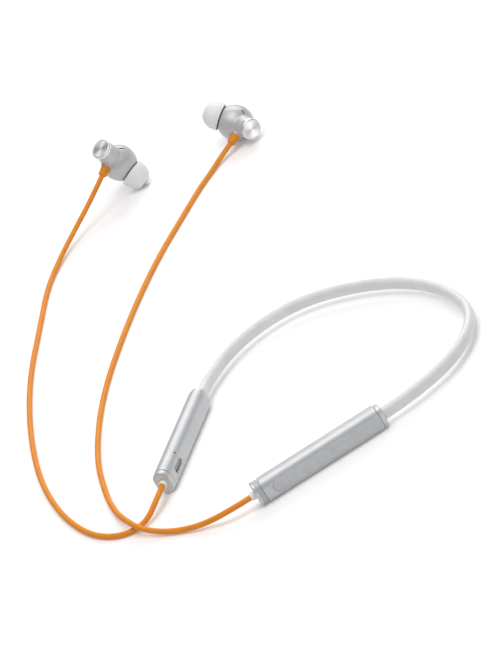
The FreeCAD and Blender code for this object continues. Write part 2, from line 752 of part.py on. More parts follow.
def bulb_profile(body, t_axis, wall, front):
    """The half outline of the bulb, inset by the wall, in the plane through the nozzle's axis."""
    u_axis = turn_to(t_axis, UP).multVec(Vector(1, 0, 0))
    turn = Rotation(u_axis, t_axis, u_axis.cross(t_axis), "YXZ")
    rear, bow = "(bulb_radius - %s)" % wall, "(bulb_front_radius - %s)" % wall
    corners = [("0", "-" + rear, rear, 1), (rear, "0", bow, 1), (FRONT_X.format(bow, front), front),
               ("0", front)]
    return draw(new_sketch(body, "XY_Plane", turn=turn), corners)


def earbud_shell(side):
    body = new_body("earbud_shell_" + side, earbud_frame(side))
    t_axis, vent_axis = handed(NOZZLE_AXIS, side), handed(VENT_AXIS, side)
    revolve(body, bulb_profile(body, t_axis, "0", "bulb_front_plane"))
    add_cylinder(body, ("0", "0", "0"), UP, "barrel_radius", "barrel_end")
    seam = "sqrt(bulb_radius ^ 2 - barrel_radius ^ 2)"
    round_edges(body, "barrel_blend", lambda edge: abs(edge.BoundBox.ZMin - value(seam)) < 1e-3
                and edge.BoundBox.ZLength < 1e-3)
    revolve(body, bulb_profile(body, t_axis, "bulb_wall", "(bulb_front_plane - bulb_wall)"), cut=True)
    add_cylinder(body, ("0", "0", "0"), UP, "barrel_bore_radius", "barrel_end + 1", cut=True)
    add_cylinder(body, ("0", "0", "0"), t_axis, "nozzle_spigot_radius + plate_clearance", "bulb_radius",
                 cut=True)
    along = Vector(1, 0, 0)
    add_cylinder(body, ("relief_boss_start", "0", "relief_height"), along, "relief_boss_radius",
                 "relief_boss_end - relief_boss_start")
    add_cylinder(body, ("relief_neck_start - 1", "0", "relief_height"), along, "relief_bore_radius",
                 "bulb_radius", cut=True)
    add_cylinder(body, ("relief_seat", "0", "relief_height"), along, "relief_radius + cable_clearance",
                 "bulb_radius", cut=True)
    slot_axis = handed(VENT_SLOT_AXIS, side)
    slot_turn = turn_to(vent_axis, slot_axis)
    slot_depth = value("bulb_radius") - 1.6
    corner = slot_turn.multVec(Vector(-value("vent_length") / 2, -value("vent_width") / 2, slot_depth))
    add_box(body, ("0", "vent_length"), ("0", "vent_width"), ("0", "3"), cut=True, turn=slot_turn,
            at=["%.4f" % number for number in corner])


def earbud(side):
    earbud_shell(side)
    cap = new_body("earbud_cap_" + side, earbud_frame(side))
    add_cylinder(cap, ("0", "0", "barrel_end"), UP, "cap_radius", "cap_end - barrel_end")
    round_edges(cap, "cap_edge", lambda edge: edge.BoundBox.ZLength < 1e-4
                and edge.BoundBox.ZMin > value("cap_end") - 1e-3)
    add_cylinder(cap, ("0", "0", "barrel_end - cap_spigot"), UP, "barrel_bore_radius - plate_clearance",
                 "cap_spigot")
    add_cylinder(cap, ("0", "0", "cap_end - cap_dish_depth"), UP, "cap_dish_radius", "1", cut=True)
    magnet = new_body("earbud_magnet_" + side, earbud_frame(side))
    add_cylinder(magnet, ("0", "0", "barrel_end - cap_spigot - magnet_thickness"), UP, "magnet_radius",
                 "magnet_thickness")
    along_nozzle = earbud_frame(side, along_nozzle=True)
    driver = new_body("earbud_driver_" + side, along_nozzle)
    corners = [("0", "-driver_yoke_back"), ("driver_yoke_radius", "-driver_yoke_back"),
               ("driver_yoke_radius", "-driver_back"), ("driver_radius", "-driver_back"),
               ("driver_radius", "driver_front"),
               ("dome_radius", "driver_front", "(dome_radius ^ 2 + dome_height ^ 2) / (2 * dome_height)", 1),
               ("0", "driver_front + dome_height")]
    revolve(driver, draw(new_sketch(driver, "XZ_Plane"), corners))
    nozzle = new_body("earbud_nozzle_" + side, along_nozzle)
    flange = "bulb_front_plane + nozzle_flange_depth"
    lip = "nozzle_end - nozzle_lip_length"
    corners = [("nozzle_funnel_radius", "bulb_front_plane - nozzle_spigot_depth"),
               ("nozzle_spigot_radius", "bulb_front_plane - nozzle_spigot_depth"),
               ("nozzle_spigot_radius", "bulb_front_plane"), ("nozzle_flange_radius", "bulb_front_plane"),
               ("nozzle_flange_radius", flange), ("nozzle_radius", flange), ("nozzle_radius", lip),
               ("nozzle_lip_radius", lip), ("nozzle_lip_radius", "nozzle_end"),
               ("nozzle_bore_radius", "nozzle_end"), ("nozzle_bore_radius", "bulb_front_plane + 1.5")]
    revolve(nozzle, draw(new_sketch(nozzle, "XZ_Plane"), corners))
    mesh = new_body("nozzle_mesh_" + side, along_nozzle)
    add_cylinder(mesh, ("0", "0", "nozzle_end - mesh_recess - mesh_thickness"), UP,
                 "nozzle_bore_radius - 0.02", "mesh_thickness")
    vent = new_body("vent_mesh_" + side, earbud_frame(side))
    inner_end = handed(VENT_AXIS, side) * (value("vent_mesh_outer") - value("mesh_thickness"))
    add_cylinder(vent, ["%.4f" % number for number in inner_end], handed(VENT_AXIS, side), "vent_mesh_radius",
                 "mesh_thickness")
    relief = new_body("strain_relief_" + side, earbud_frame(side))
    turn = Rotation(Vector(0, 1, 0), Vector(1, 0, 0), Vector(0, 0, -1), "YXZ")
    corners = [("0", "relief_neck_start"), ("relief_neck_radius", "relief_neck_start"),
               ("relief_neck_radius", "relief_seat"), ("relief_radius", "relief_seat"),
               ("relief_tip_radius", "relief_end"), ("cable_radius + cable_clearance", "relief_end"),
               ("cable_radius + cable_clearance", "relief_end - cable_seat"),
               ("0", "relief_end - cable_seat")]
    revolve(relief, draw(new_sketch(relief, "XY_Plane", ("0", "0", "relief_height"), turn), corners))
    tip = new_body("ear_tip_" + side, along_nozzle)
    inner_widest = "tip_widest_radius - tip_wall"
    corners = [("tip_mouth_radius", "tip_bore_end + 0.6"), ("tip_bore_radius", "tip_bore_end"),
               ("tip_bore_radius", "tip_core_base"), ("tip_core_radius", "tip_core_base"),
               ("tip_core_radius", "tip_pocket_end - 0.6"),
               ("tip_pocket_radius", "tip_pocket_end", "tip_dome_radius - tip_wall", -1),
               (inner_widest, "tip_widest"), ("tip_base_radius - tip_wall", "tip_base"),
               ("tip_base_radius", "tip_base"), ("tip_widest_radius", "tip_widest", "tip_dome_radius", 1),
               ("tip_end_radius", "tip_end"), ("tip_mouth_radius", "tip_end")]
    revolve(tip, draw(new_sketch(tip, "XZ_Plane"), corners))


for side in ("left", "right"):
    earbud(side)


# ---------------------------------------------------------------- cables
def cable_edges(points):
    """Straight runs joined by tangent arcs."""
    edges = []
    last = points[0]
    for before, corner, after in zip(points, points[1:], points[2:]):
        back, ahead = before - corner, after - corner
        turn = math.pi - back.getAngle(ahead)
        reach = 0.45 * min(back.Length, ahead.Length)
        start = corner + Vector(back).normalize() * reach
        end = corner + Vector(ahead).normalize() * reach
        radius = reach / math.tan(turn / 2)
        bisector = (Vector(back).normalize() + Vector(ahead).normalize()).normalize()
        middle = corner + bisector * (radius / math.cos(turn / 2) - radius)
        edges.append(Part.LineSegment(last, start).toShape())
        edges.append(Part.Arc(start, middle, end).toShape())
        last = end
    edges.append(Part.LineSegment(last, points[-1]).toShape())
    return edges


def cable(label, route):
    points = [Vector(*point) for point in route]
    wire = Part.Wire(cable_edges(points))
    radius = DIMENSIONS["cable_radius"]
    section = Part.Wire(Part.Circle(points[0], points[1] - points[0], radius).toShape())
    tube = wire.makePipeShell([section], True, True)
    thing = doc.addObject("Part::Feature", label)
    thing.Shape = tube
    thing.Label = label
    SUBPARTS.append(thing)
    print("%s: radius %.2f mm, length %.1f mm, volume over section times length %.4f"
          % (label, radius, wire.Length, tube.Volume / (math.pi * radius ** 2 * wire.Length)))


cable("cable_left", CABLE_LEFT_ROUTE)
cable("cable_right", CABLE_RIGHT_ROUTE)

# ---------------------------------------------------------------- checks and export
doc.recompute()
for thing in doc.Objects:
    if "Invalid" in thing.State or "Error" in thing.State:
        raise RuntimeError("%s: %s" % (thing.Label, thing.State))
for body in SUBPARTS:
    if body.Shape.isNull() or not body.Shape.isValid():
        raise RuntimeError(body.Label + " has no valid shape")
    for feature in getattr(body, "Group", []):
        if feature.TypeId in ("PartDesign::Pocket", "PartDesign::Groove") or "Subtractive" in feature.TypeId:
            if feature.BaseFeature.Shape.Volume - feature.Shape.Volume < 1e-4:
                raise RuntimeError("%s removes nothing from %s" % (feature.Label, body.Label))

os.makedirs("parts", exist_ok=True)
for body in SUBPARTS:
    body.Shape.exportStep("parts/%s.step" % body.Label)
    box = body.Shape.BoundBox
    print("%-28s solids %d volume %9.2f mm3  z %.2f to %.2f"
          % (body.Label, len(body.Shape.Solids), body.Shape.Volume, box.ZMin, box.ZMax))
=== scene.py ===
"""Neckband earphones, laid on a pale surface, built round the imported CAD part. Metres, in the row frame."""

import math

import bmesh
import bpy
from mathutils import Matrix, Vector, noise

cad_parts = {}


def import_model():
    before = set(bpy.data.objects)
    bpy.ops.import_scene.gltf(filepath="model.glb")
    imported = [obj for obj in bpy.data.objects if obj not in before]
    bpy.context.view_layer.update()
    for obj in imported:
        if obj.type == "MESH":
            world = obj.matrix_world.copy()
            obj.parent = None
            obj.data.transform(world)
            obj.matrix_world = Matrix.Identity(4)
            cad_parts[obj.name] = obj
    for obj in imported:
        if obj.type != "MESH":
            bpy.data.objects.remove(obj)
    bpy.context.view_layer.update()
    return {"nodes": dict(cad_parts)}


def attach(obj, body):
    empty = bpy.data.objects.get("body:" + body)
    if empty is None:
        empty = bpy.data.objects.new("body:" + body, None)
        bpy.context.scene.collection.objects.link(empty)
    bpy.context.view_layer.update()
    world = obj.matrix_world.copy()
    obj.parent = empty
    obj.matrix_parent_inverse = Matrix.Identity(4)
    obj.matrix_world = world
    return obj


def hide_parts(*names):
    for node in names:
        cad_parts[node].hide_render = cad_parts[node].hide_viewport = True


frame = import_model()
nodes = frame["nodes"]
MM = 0.001
UP = Vector((0, 0, 1))

# ---------------------------------------------------------------- frames
POD_HALF_HEIGHT = 5.2
BAND_ARCS = ((97.0, 26.5), (39.5, 73.0), (74.0, 19.5))
BAND_BACK_Y = 62.0
EARBUD_TURN = {"left": (-93.0, 24.5, -13.0), "right": (-104.5, 18.5, -95.5)}
BULB = {"left": (-257.4, 127.9, 14.54), "right": (-212.2, 165.8, 8.35)}
NOZZLE_AXIS = (0.235, 0.713, -0.66)
VENT_AXIS = (-0.615, 0.43, 0.66)
VENT_SLOT_AXIS = (0.42, -0.47, 0.77)
LAID = 1.17  # the height of a cable's centreline where it lies on the floor
CABLE_ROUTES = {
    "left": [(-28.62, -63.75, 5.2), (-24.01, -72.06, 5.2), (-23.0, -82.0, 1.7), (-28.8, -89.4, LAID),
             (-41.0, -92.4, LAID), (-57.0, -90.6, LAID), (-82.0, -82.4, LAID), (-114.0, -66.0, LAID),
             (-152.0, -38.8, LAID), (-188.0, -7.0, LAID), (-218.0, 26.5, LAID), (-242.0, 53.0, LAID),
             (-254.0, 74.5, 2.3), (-257.3, 90.0, 5.6), (-257.16, 105.79, 11.12), (-256.53, 117.87, 16.64)],
    "right": [(28.62, -63.75, 5.2), (23.58, -72.85, 5.2), (11.0, -79.4, 2.2), (-2.0, -83.8, LAID),
              (-13.0, -86.4, 2.0), (-21.0, -87.4, 4.0), (-32.0, -84.5, 4.0), (-46.0, -79.2, 1.7),
              (-63.0, -70.2, LAID), (-92.0, -50.0, LAID), (-127.0, -14.0, LAID), (-158.0, 31.0, LAID),
              (-182.0, 73.0, LAID), (-196.5, 107.0, LAID), (-204.5, 126.0, LAID), (-208.3, 138.5, LAID),
              (-210.22, 148.83, 2.39), (-208.12, 156.91, 5.18)],
}
CABLE_RADIUS = 1.15


def band_point(distance):
    """The band's centreline at a distance from the back of the neck, and its heading in radians."""
    side = 1 if distance >= 0 else -1
    left = abs(distance)
    x, y, heading = 0.0, BAND_BACK_Y, 0.0
    for radius, angle in BAND_ARCS:
        length = radius * math.radians(angle)
        turned = min(left, length) / radius
        x += radius * (math.sin(heading + turned) - math.sin(heading))
        y -= radius * (math.cos(heading) - math.cos(heading + turned))
        heading += turned
        left -= turned * radius
        if left <= 1e-9:
            break
    x += left * math.cos(heading)
    y -= left * math.sin(heading)
    return Vector((side * x, y, POD_HALF_HEIGHT)), heading * side


BAND_HALF_LENGTH = sum(radius * math.radians(angle) for radius, angle in BAND_ARCS)


def pod_matrix(side):
    """X along the pod from the band, Y towards its open face, Z up, in millimetres."""
    end, heading = band_point(BAND_HALF_LENGTH if side == "right" else -BAND_HALF_LENGTH)
    turn = -heading if side == "right" else -heading - math.pi
    return Matrix.Translation(end) @ Matrix.Rotation(turn, 4, "Z")


def handed(direction, side):
    x, y, z = direction
    return Vector((x, y if side == "left" else -y, z)).normalized()


def turn_to(z_axis, x_hint):
    x_axis = (x_hint - z_axis * x_hint.dot(z_axis)).normalized()
    return Matrix((x_axis, z_axis.cross(x_axis), z_axis)).transposed().to_4x4()


def bulb_matrix(side):
    yaw, pitch, roll = (math.radians(angle) for angle in EARBUD_TURN[side])
    turn = Matrix.Rotation(yaw, 4, "Z") @ Matrix.Rotation(pitch, 4, "Y") @ Matrix.Rotation(roll, 4, "X")
    return Matrix.Translation(Vector(BULB[side])) @ turn


def nozzle_matrix(side):
    return bulb_matrix(side) @ turn_to(handed(NOZZLE_AXIS, side), UP)


def collar_matrix(side):
    """Z along the earbud's cable collar."""
    lift = Matrix.Translation(Vector((0, 0, 6.2)))
    return bulb_matrix(side) @ lift @ turn_to(Vector((1, 0, 0)), UP)


# ---------------------------------------------------------------- materials
def shader(name, colour, rough, metal=0.0, grain=900.0, tint=0.05, rough_spread=0.08, bump=0.00001,
           bump_grain=None, stretch=(1, 1, 1), coat=0.0, subsurface=0.0, specular=0.5, transmission=0.0):
    """A principled shader whose colour, roughness and height vary with noise in object coordinates."""
    material = bpy.data.materials.new(name)
    material.use_nodes = True
    tree = material.node_tree
    principled = tree.nodes["Principled BSDF"]
    place = tree.nodes.new("ShaderNodeTexCoord")
    mapping = tree.nodes.new("ShaderNodeMapping")
    mapping.inputs["Scale"].default_value = stretch
    tree.links.new(place.outputs["Object"], mapping.inputs["Vector"])

    def cloud(scale, detail):
        texture = tree.nodes.new("ShaderNodeTexNoise")
        texture.inputs["Scale"].default_value = scale
        texture.inputs["Detail"].default_value = detail
        tree.links.new(mapping.outputs["Vector"], texture.inputs["Vector"])
        return texture

    broad, fine = cloud(grain / 8, 3), cloud(bump_grain or grain * 4, 4)
    ramp = tree.nodes.new("ShaderNodeValToRGB")
    ramp.color_ramp.elements[0].position = 0.3
    ramp.color_ramp.elements[1].position = 0.7
    ramp.color_ramp.elements[0].color = [max(0, c * (1 - tint)) for c in colour] + [1]
    ramp.color_ramp.elements[1].color = [min(1, c * (1 + tint)) for c in colour] + [1]
    tree.links.new(broad.outputs["Fac"], ramp.inputs["Fac"])
    tree.links.new(ramp.outputs["Color"], principled.inputs["Base Color"])
    spread = tree.nodes.new("ShaderNodeMapRange")
    spread.inputs["To Min"].default_value = max(0.02, rough - rough_spread)
    spread.inputs["To Max"].default_value = min(1, rough + rough_spread)
    tree.links.new(fine.outputs["Fac"], spread.inputs["Value"])
    tree.links.new(spread.outputs["Result"], principled.inputs["Roughness"])
    height = tree.nodes.new("ShaderNodeBump")
    height.inputs["Strength"].default_value = 0.6
    height.inputs["Distance"].default_value = bump
    tree.links.new(fine.outputs["Fac"], height.inputs["Height"])
    tree.links.new(height.outputs["Normal"], principled.inputs["Normal"])
    principled.inputs["Metallic"].default_value = metal
    principled.inputs["Coat Weight"].default_value = coat
    principled.inputs["Coat Roughness"].default_value = 0.15
    if subsurface:
        principled.inputs["Subsurface Weight"].default_value = subsurface
        principled.inputs["Subsurface Radius"].default_value = (1.0, 0.9, 0.8)
        principled.inputs["Subsurface Scale"].default_value = 0.0015
    principled.inputs["Specular IOR Level"].default_value = specular
    principled.inputs["Transmission Weight"].default_value = transmission
    return material


# Painted shade and painted highlight: how far the cap face's colour is darkened and brightened in its sectors.
SECTOR_PAINTED_SHADE, SECTOR_PAINTED_HIGHLIGHT = 0.72, 1.3


def spun_and_painted_sheen(name, colour, rough, bright):
    """Turned metal: fine rings about the piece's own Z, and two sectors of painted highlight, with painted
    shade between them, that centre on an angle.
    """
    material = shader(name, colour, rough, metal=0.75, grain=3000, tint=0.04, rough_spread=0.04, bump=0.000002)
    tree = material.node_tree
    principled = tree.nodes["Principled BSDF"]
    principled.inputs["Anisotropic"].default_value = 0.85
    tangent = tree.nodes.new("ShaderNodeTangent")
    tangent.direction_type = "RADIAL"
    tangent.axis = "Z"
    tree.links.new(tangent.outputs["Tangent"], principled.inputs["Tangent"])
    place = tree.nodes.new("ShaderNodeTexCoord")
    rings = tree.nodes.new("ShaderNodeTexWave")
    rings.wave_type = "RINGS"
    rings.rings_direction = "Z"
    rings.inputs["Scale"].default_value = 1100
    rings.inputs["Distortion"].default_value = 0.6
    tree.links.new(place.outputs["Object"], rings.inputs["Vector"])
    height = tree.nodes.new("ShaderNodeBump")
    height.inputs["Strength"].default_value = 0.3
    height.inputs["Distance"].default_value = 0.000008
    tree.links.new(rings.outputs["Fac"], height.inputs["Height"])
    tree.links.new(height.outputs["Normal"], principled.inputs["Normal"])
    parts = tree.nodes.new("ShaderNodeSeparateXYZ")
    tree.links.new(place.outputs["Object"], parts.inputs["Vector"])

    def sums(operation, *numbers):
        node = tree.nodes.new("ShaderNodeMath")
        node.operation = operation
        for socket, number in zip(node.inputs, numbers):
            if isinstance(number, float):
                socket.default_value = number
            else:
                tree.links.new(number, socket)
        return node.outputs["Value"]

    # Painted highlight: the colour brightens in two opposite sectors centred on the given angle, with painted
    # shade between them.
    angle = sums("SUBTRACT", sums("ARCTAN2", parts.outputs["Y"], parts.outputs["X"]), bright)
    sectors = sums("COSINE", sums("MULTIPLY", angle, 2.0))
    ramp = tree.nodes.new("ShaderNodeValToRGB")
    ramp.color_ramp.elements[0].position = 0.0
    ramp.color_ramp.elements[0].color = [c * SECTOR_PAINTED_SHADE for c in colour] + [1]
    ramp.color_ramp.elements[1].position = 0.95
    ramp.color_ramp.elements[1].color = [min(1, c * SECTOR_PAINTED_HIGHLIGHT) for c in colour] + [1]
    tree.links.new(sums("MULTIPLY_ADD", sectors, 0.5, 0.5), ramp.inputs["Fac"])
    tree.links.new(ramp.outputs["Color"], principled.inputs["Base Color"])
    return material


SATIN = shader("satin_silver", (0.57, 0.58, 0.59), 0.43, metal=0.35, grain=1500, tint=0.03, bump=0.000005)
SATIN_FINE = shader("satin_silver_trim", (0.60, 0.61, 0.62), 0.38, metal=0.35, grain=1800, tint=0.03,
                    bump=0.000004)
POLISHED = shader("polished_rim", (0.76, 0.76, 0.77), 0.32, metal=0.7, grain=2500, tint=0.03,
                  rough_spread=0.04, bump=0.000002)
FACE = shader("matte_face", (0.55, 0.56, 0.57), 0.5, metal=0.25, grain=2600, tint=0.06, bump=0.00001)
SHELL = shader("satin_shell", (0.54, 0.55, 0.56), 0.40, metal=0.25, grain=1600, tint=0.03, bump=0.000004)
BAND = shader("band_silicone", (0.74, 0.74, 0.75), 0.42, grain=1200, tint=0.04, bump=0.000008, coat=0.1)
ORANGE = shader("orange_jacket", (0.79, 0.27, 0.022), 0.55, grain=1500, tint=0.05, bump=0.000004, specular=0.25)
CREAM = shader("cream_collar", (0.88, 0.87, 0.82), 0.45, grain=1800, tint=0.04, bump=0.000008)
TIP = shader("tip_silicone", (0.80, 0.80, 0.82), 0.40, grain=1600, tint=0.03, bump=0.000004, subsurface=0.08)
STEEL = shader("steel", (0.60, 0.60, 0.61), 0.25, metal=1.0, grain=2500, tint=0.05, bump=0.000005,
               stretch=(1, 1, 8))
TONGUE = shader("port_tongue", (0.55, 0.55, 0.56), 0.45, grain=2200, tint=0.06, bump=0.000005)
# Darker than the satin sleeve: painted shade in the shallow groove behind the battery pod's cable plate.
WAIST_PAINTED_SHADE = shader("waist_band_painted_shade", (0.48, 0.49, 0.50), 0.5, metal=0.2, grain=2000, tint=0.05, bump=0.000005)
PORT = shader("port_shell", (0.80, 0.80, 0.81), 0.35, metal=0.4, grain=2500, tint=0.04, bump=0.000004)
DARK = shader("dark_plastic", (0.03, 0.03, 0.035), 0.5, grain=2200, tint=0.2, bump=0.00001)
GREY = shader("inner_plastic", (0.2, 0.21, 0.22), 0.5, grain=2200, tint=0.1, bump=0.00001)
BOARD = shader("solder_mask", (0.02, 0.16, 0.07), 0.35, grain=2600, tint=0.2, bump=0.00001, coat=0.3)
CLEAR = shader("clear_plastic", (0.75, 0.78, 0.80), 0.2, grain=2000, tint=0.03, bump=0.000003, transmission=0.3)
WRAP = shader("cell_wrap", (0.10, 0.16, 0.42), 0.35, grain=1500, tint=0.1, bump=0.00001, coat=0.3)
LACQUER = shader("wire_lacquer", (0.45, 0.10, 0.05), 0.4, grain=1500, tint=0.1, bump=0.00001)


def woven(name):
    """Fine woven steel: two crossed waves."""
    material = shader(name, (0.16, 0.16, 0.17), 0.4, metal=0.8, grain=3000, tint=0.1)
    tree = material.node_tree
    principled = tree.nodes["Principled BSDF"]
    place = tree.nodes.new("ShaderNodeTexCoord")
    total = tree.nodes.new("ShaderNodeMath")
    total.operation = "MULTIPLY"
    for index, direction in enumerate(("X", "Y")):
        wave = tree.nodes.new("ShaderNodeTexWave")
        wave.bands_direction = direction
        wave.inputs["Scale"].default_value = 1500
        tree.links.new(place.outputs["Object"], wave.inputs["Vector"])
        tree.links.new(wave.outputs["Fac"], total.inputs[index])
    height = tree.nodes.new("ShaderNodeBump")
    height.inputs["Distance"].default_value = 0.00005
    tree.links.new(total.outputs["Value"], height.inputs["Height"])
    tree.links.new(height.outputs["Normal"], principled.inputs["Normal"])
    return material


MESH = woven("woven_mesh")


def cap_metal(side):
    """The cap's face, whose sectors of painted highlight centre on the direction that points up, with painted
    shade between them.
    """
    highlight_direction = bulb_matrix(side).to_3x3().transposed() @ UP
    return spun_and_painted_sheen("spun_cap_painted_sheen_" + side, (0.80, 0.80, 0.81), 0.33, math.atan2(highlight_direction.y, highlight_direction.x))


# ---------------------------------------------------------------- mesh builders
def mesh_object(name, vertices, faces, material, matrix=None):
    """A smooth mesh given in millimetres, placed by a matrix that is in millimetres too."""
    mesh = bpy.data.meshes.new(name)
    mesh.from_pydata([tuple(MM * c for c in v) for v in vertices], [], faces)
    mesh.validate()
    shape = bmesh.new()
    shape.from_mesh(mesh)
    bmesh.ops.remove_doubles(shape, verts=shape.verts, dist=1e-7)
    bmesh.ops.recalc_face_normals(shape, faces=shape.faces)
    shape.to_mesh(mesh)
    shape.free()
    mesh.shade_smooth()
    mesh.set_sharp_from_angle(angle=math.radians(38))
    obj = bpy.data.objects.new(name, mesh)
    bpy.context.scene.collection.objects.link(obj)
    obj.data.materials.append(material)
    if matrix:
        place = matrix.copy()
        place.translation = matrix.translation * MM
        obj.matrix_world = place
    return obj


def lathe(name, profile, material, matrix, segments=96, closed=True, ripple=None):
    """Turns a profile of (r, z) about Z. ripple(angle, r, z) gives a small change of radius."""
    vertices, faces = [], []
    count = len(profile)
    for step in range(segments):
        angle = 2 * math.pi * step / segments
        for r, z in profile:
            reach = r + (ripple(angle, r, z) if ripple else 0)
            vertices.append((reach * math.cos(angle), reach * math.sin(angle), z))
    for step in range(segments):
        following = (step + 1) % segments
        for index in range(count if closed else count - 1):
            ahead = (index + 1) % count
            faces.append((step * count + index, following * count + index, following * count + ahead,
                          step * count + ahead))
    return mesh_object(name, vertices, faces, material, matrix)


def sweep(name, stations, section, material):
    """Sweeps a closed section (across, up) along stations of (point, across vector), with caps."""
    vertices, faces = [], []
    count = len(section)
    for index, (point, across) in enumerate(stations):
        for sideways, height in section:
            vertices.append(tuple(point + across * sideways + UP * height))
    for index in range(len(stations) - 1):
        for corner in range(count):
            following = (corner + 1) % count
            faces.append((index * count + corner, index * count + following,
                          (index + 1) * count + following, (index + 1) * count + corner))
    faces.append(tuple(range(count))[::-1])
    faces.append(tuple((len(stations) - 1) * count + corner for corner in range(count)))
    return mesh_object(name, vertices, faces, material)


def loft(name, outlines, material, matrix=None, hollow=False):
    """Joins outlines of equal length. hollow joins the last to the first; otherwise both ends are capped."""
    count = len(outlines[0])
    vertices = [tuple(point) for outline in outlines for point in outline]
    faces = []
    last = len(outlines) if hollow else len(outlines) - 1
    for index in range(last):
        following = (index + 1) % len(outlines)
        for corner in range(count):
            ahead = (corner + 1) % count
            faces.append((index * count + corner, index * count + ahead, following * count + ahead,
                          following * count + corner))
    if not hollow:
        faces.append(tuple(range(count))[::-1])
        faces.append(tuple((len(outlines) - 1) * count + corner for corner in range(count)))
    obj = mesh_object(name, vertices, faces, material, matrix)
    even_normals(obj)
    return obj


def even_normals(obj):
    """Large flat faces keep their own direction beside small rounded ones."""
    modifier = obj.modifiers.new("normals", "WEIGHTED_NORMAL")
    modifier.keep_sharp = True
    modifier.weight = 80


def stadium(x, width, height, steps=20, flats=3):
    """An upright stadium outline across X."""
    half, straight = width / 2, (height - width) / 2
    outline = []
    for side in (1, -1):
        for step in range(steps + 1):
            angle = math.pi * step / steps
            outline.append((x, side * half * math.cos(angle), side * (straight + half * math.sin(angle))))
        for step in range(1, flats):
            outline.append((x, -side * half, side * straight * (1 - 2 * step / flats)))
    return outline


def pill(y, x, z, length, height, steps=14):
    """A pill outline along X, facing Y."""
    half, straight = height / 2, (length - height) / 2
    outline = []
    for side in (1, -1):
        for step in range(steps + 1):
            angle = math.pi * (step / steps - 0.5)
            along, up = straight + half * math.cos(angle), half * math.sin(angle)
            outline.append((x + side * along, y, z + side * up))
    return outline


def circle(centre, axis, radius, steps=32):
    """Points round an axis."""
    across = axis.orthogonal().normalized()
    up = axis.cross(across)
    return [centre + (across * math.cos(a) + up * math.sin(a)) * radius
            for a in (2 * math.pi * step / steps for step in range(steps))]


def rounded_stadium(x, width, height, radius, end=False):
    """Outlines of a rounded edge at x, from the end face to the side, or the other way round."""
    outlines = []
    steps = 5
    for step in range(steps + 1):
        turn = math.pi / 2 * step / steps
        along, inset = radius * (1 - math.cos(turn)), radius * (1 - math.sin(turn))
        outlines.append(stadium(x - along if end else x + along, width - 2 * inset, height - 2 * inset))
    return outlines[::-1] if end else outlines


def cut(obj, cutters):
    """Subtracts the cutters from obj and marks the new edges sharp."""
    obj.modifiers.clear()
    for cutter in cutters:
        boolean = obj.modifiers.new("cut", "BOOLEAN")
        boolean.object = cutter
        boolean.operation = "DIFFERENCE"
        boolean.solver = "EXACT"
    bpy.context.view_layer.update()
    result = bpy.data.meshes.new_from_object(obj.evaluated_get(bpy.context.evaluated_depsgraph_get()))
    obj.modifiers.clear()
    obj.data = result
    result.shade_smooth()
    result.set_sharp_from_angle(angle=math.radians(30))
    even_normals(obj)
    for cutter in cutters:
        bpy.data.objects.remove(cutter)


def add_to(obj, body="neckband"):
    """Gives a piece its body."""
    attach(obj, body)


def finish_piece(obj, node, body="neckband"):
    """Puts a piece in the place of a CAD node. The node's further pieces are only added."""
    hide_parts(node)
    add_to(obj, body)


# ---------------------------------------------------------------- carried-over CAD nodes
def paint(material, *names, edge=0.0):
    """Gives CAD nodes a material, and softens their edges."""
    for name in names:
        node = nodes[name]
        node.data.materials.clear()
        node.data.materials.append(material)
        if edge:
            weld = node.modifiers.new("weld", "WELD")
            weld.merge_threshold = 0.000002
            bevel = node.modifiers.new("edge", "BEVEL")
            bevel.width = edge * MM
            bevel.segments = 3
            bevel.limit_method = "ANGLE"
            bevel.angle_limit = math.radians(35)
            bevel.harden_normals = True


paint(SHELL, "earbud_shell_left", "earbud_shell_right", edge=0.06)
paint(STEEL, "band_memory_wire", "band_anchor_left", "band_anchor_right", "earbud_magnet_left",
      "earbud_magnet_right")
paint(LACQUER, "band_wiring")
paint(GREY, "control_pod_keel", "battery_pod_keel", "earbud_nozzle_left", "earbud_nozzle_right")
paint(BOARD, "control_board", "battery_protection_board")
paint(DARK, "microphone", "button_switches", "earbud_driver_left", "earbud_driver_right")
paint(CLEAR, "status_led", "status_light_guide")
paint(WRAP, "battery_cell")
paint(MESH, "nozzle_mesh_left", "nozzle_mesh_right", "vent_mesh_left", "vent_mesh_right")


# ---------------------------------------------------------------- pods
POD_LENGTH, WIDTH, HEIGHT, WALL = 57.0, 7.6, 10.4, 0.9
SLEEVE_START = 1.95
SLEEVE_END = {"left": 54.65, "right": 53.55}
SLEEVE_RIM, MOUTH_BEVEL = 0.3, 0.05
PLUG_WIDTH, PLUG_HEIGHT, PLUG_START, PLUG_END = 5.7, 8.5, 4.7, 51.9
WAIST_LENGTH = 1.8
BUTTONS = {"volume_up_button": 18.0, "multifunction_button": 27.0, "volume_down_button": 36.0}
PORT_X, PORT_Z = 46.6, -0.4
MICROPHONE_X, MICROPHONE_Z, LED_X = 42.9, 1.4, 49.8
FACE_END, FACE_OUTER, FACE_INNER, FACE_HALF = 49.7, 3.45, 3.2, 3.0
BUTTON_LENGTH, BUTTON_HEIGHT, BUTTON_TOP, BUTTON_GAP = 6.4, 2.6, 4.15, 0.2
DIMPLE_RADIUS, DIMPLE_DEPTH, DIMPLE_STEPS = 0.84, 0.12, 7
MICROPHONE_TURN = math.radians(36)
MICROPHONE_AXIS = Vector((0, math.cos(MICROPHONE_TURN), math.sin(MICROPHONE_TURN)))


